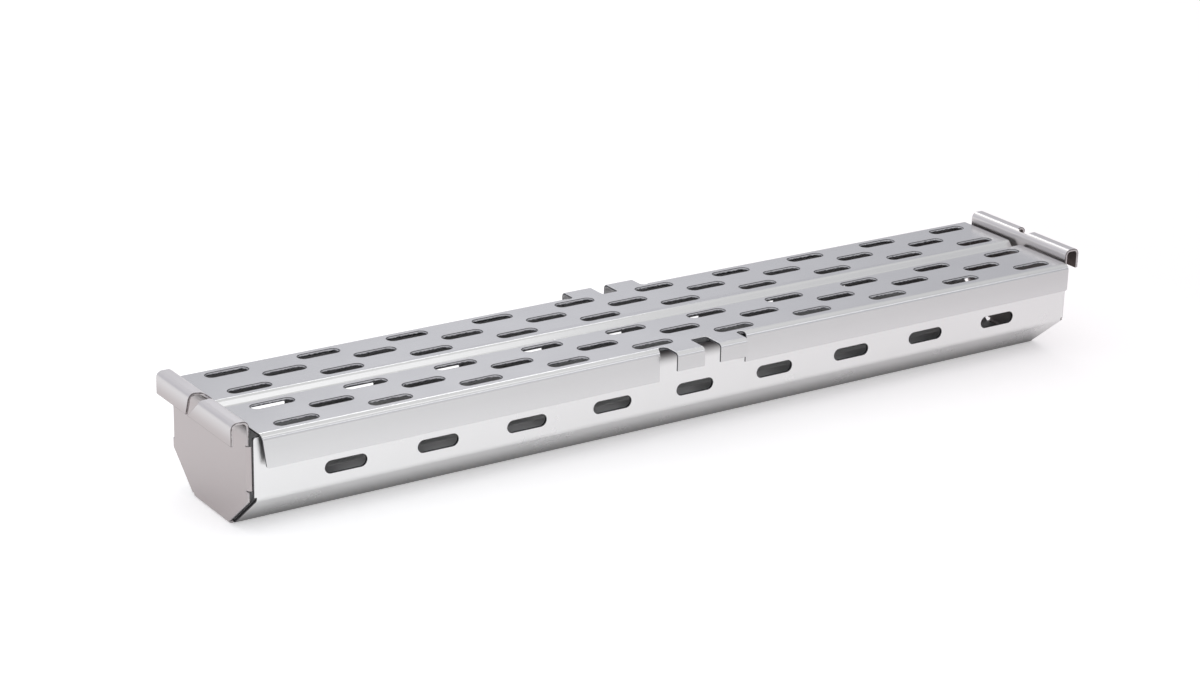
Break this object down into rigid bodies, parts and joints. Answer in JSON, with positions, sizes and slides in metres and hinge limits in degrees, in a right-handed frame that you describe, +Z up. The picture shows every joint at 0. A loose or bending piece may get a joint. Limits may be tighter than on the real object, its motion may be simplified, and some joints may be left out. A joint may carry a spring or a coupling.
{
  "type": "grill smoker box",
  "caption": "Long narrow sheet-metal smoker box: slotted trough with sloping sides and rolled end handles, under a slotted lift-off lid with side tabs.",
  "frame": {"origin": "under the middle of the box, on the surface that it stands on", "axes": "+X along the box, +Y across it, +Z up"},
  "size_m": [0.3936, 0.0812, 0.0453],
  "materials": {
    "trough_steel": "smooth bright stainless sheet",
    "plate_steel": "satin stainless sheet",
    "lid_steel": "satin stainless sheet"
  },
  "bodies": {
    "base": {"trough": "trough_steel", "end_plate_left": "plate_steel", "end_plate_right": "plate_steel"},
    "lid": {"lid": "lid_steel"}
  },
  "joints": [
    {"name": "lid_lift", "type": "slide", "parent": "base", "child": "lid", "axis": [0, 0, 1], "range_m": [0, 0.08]}
  ]
}
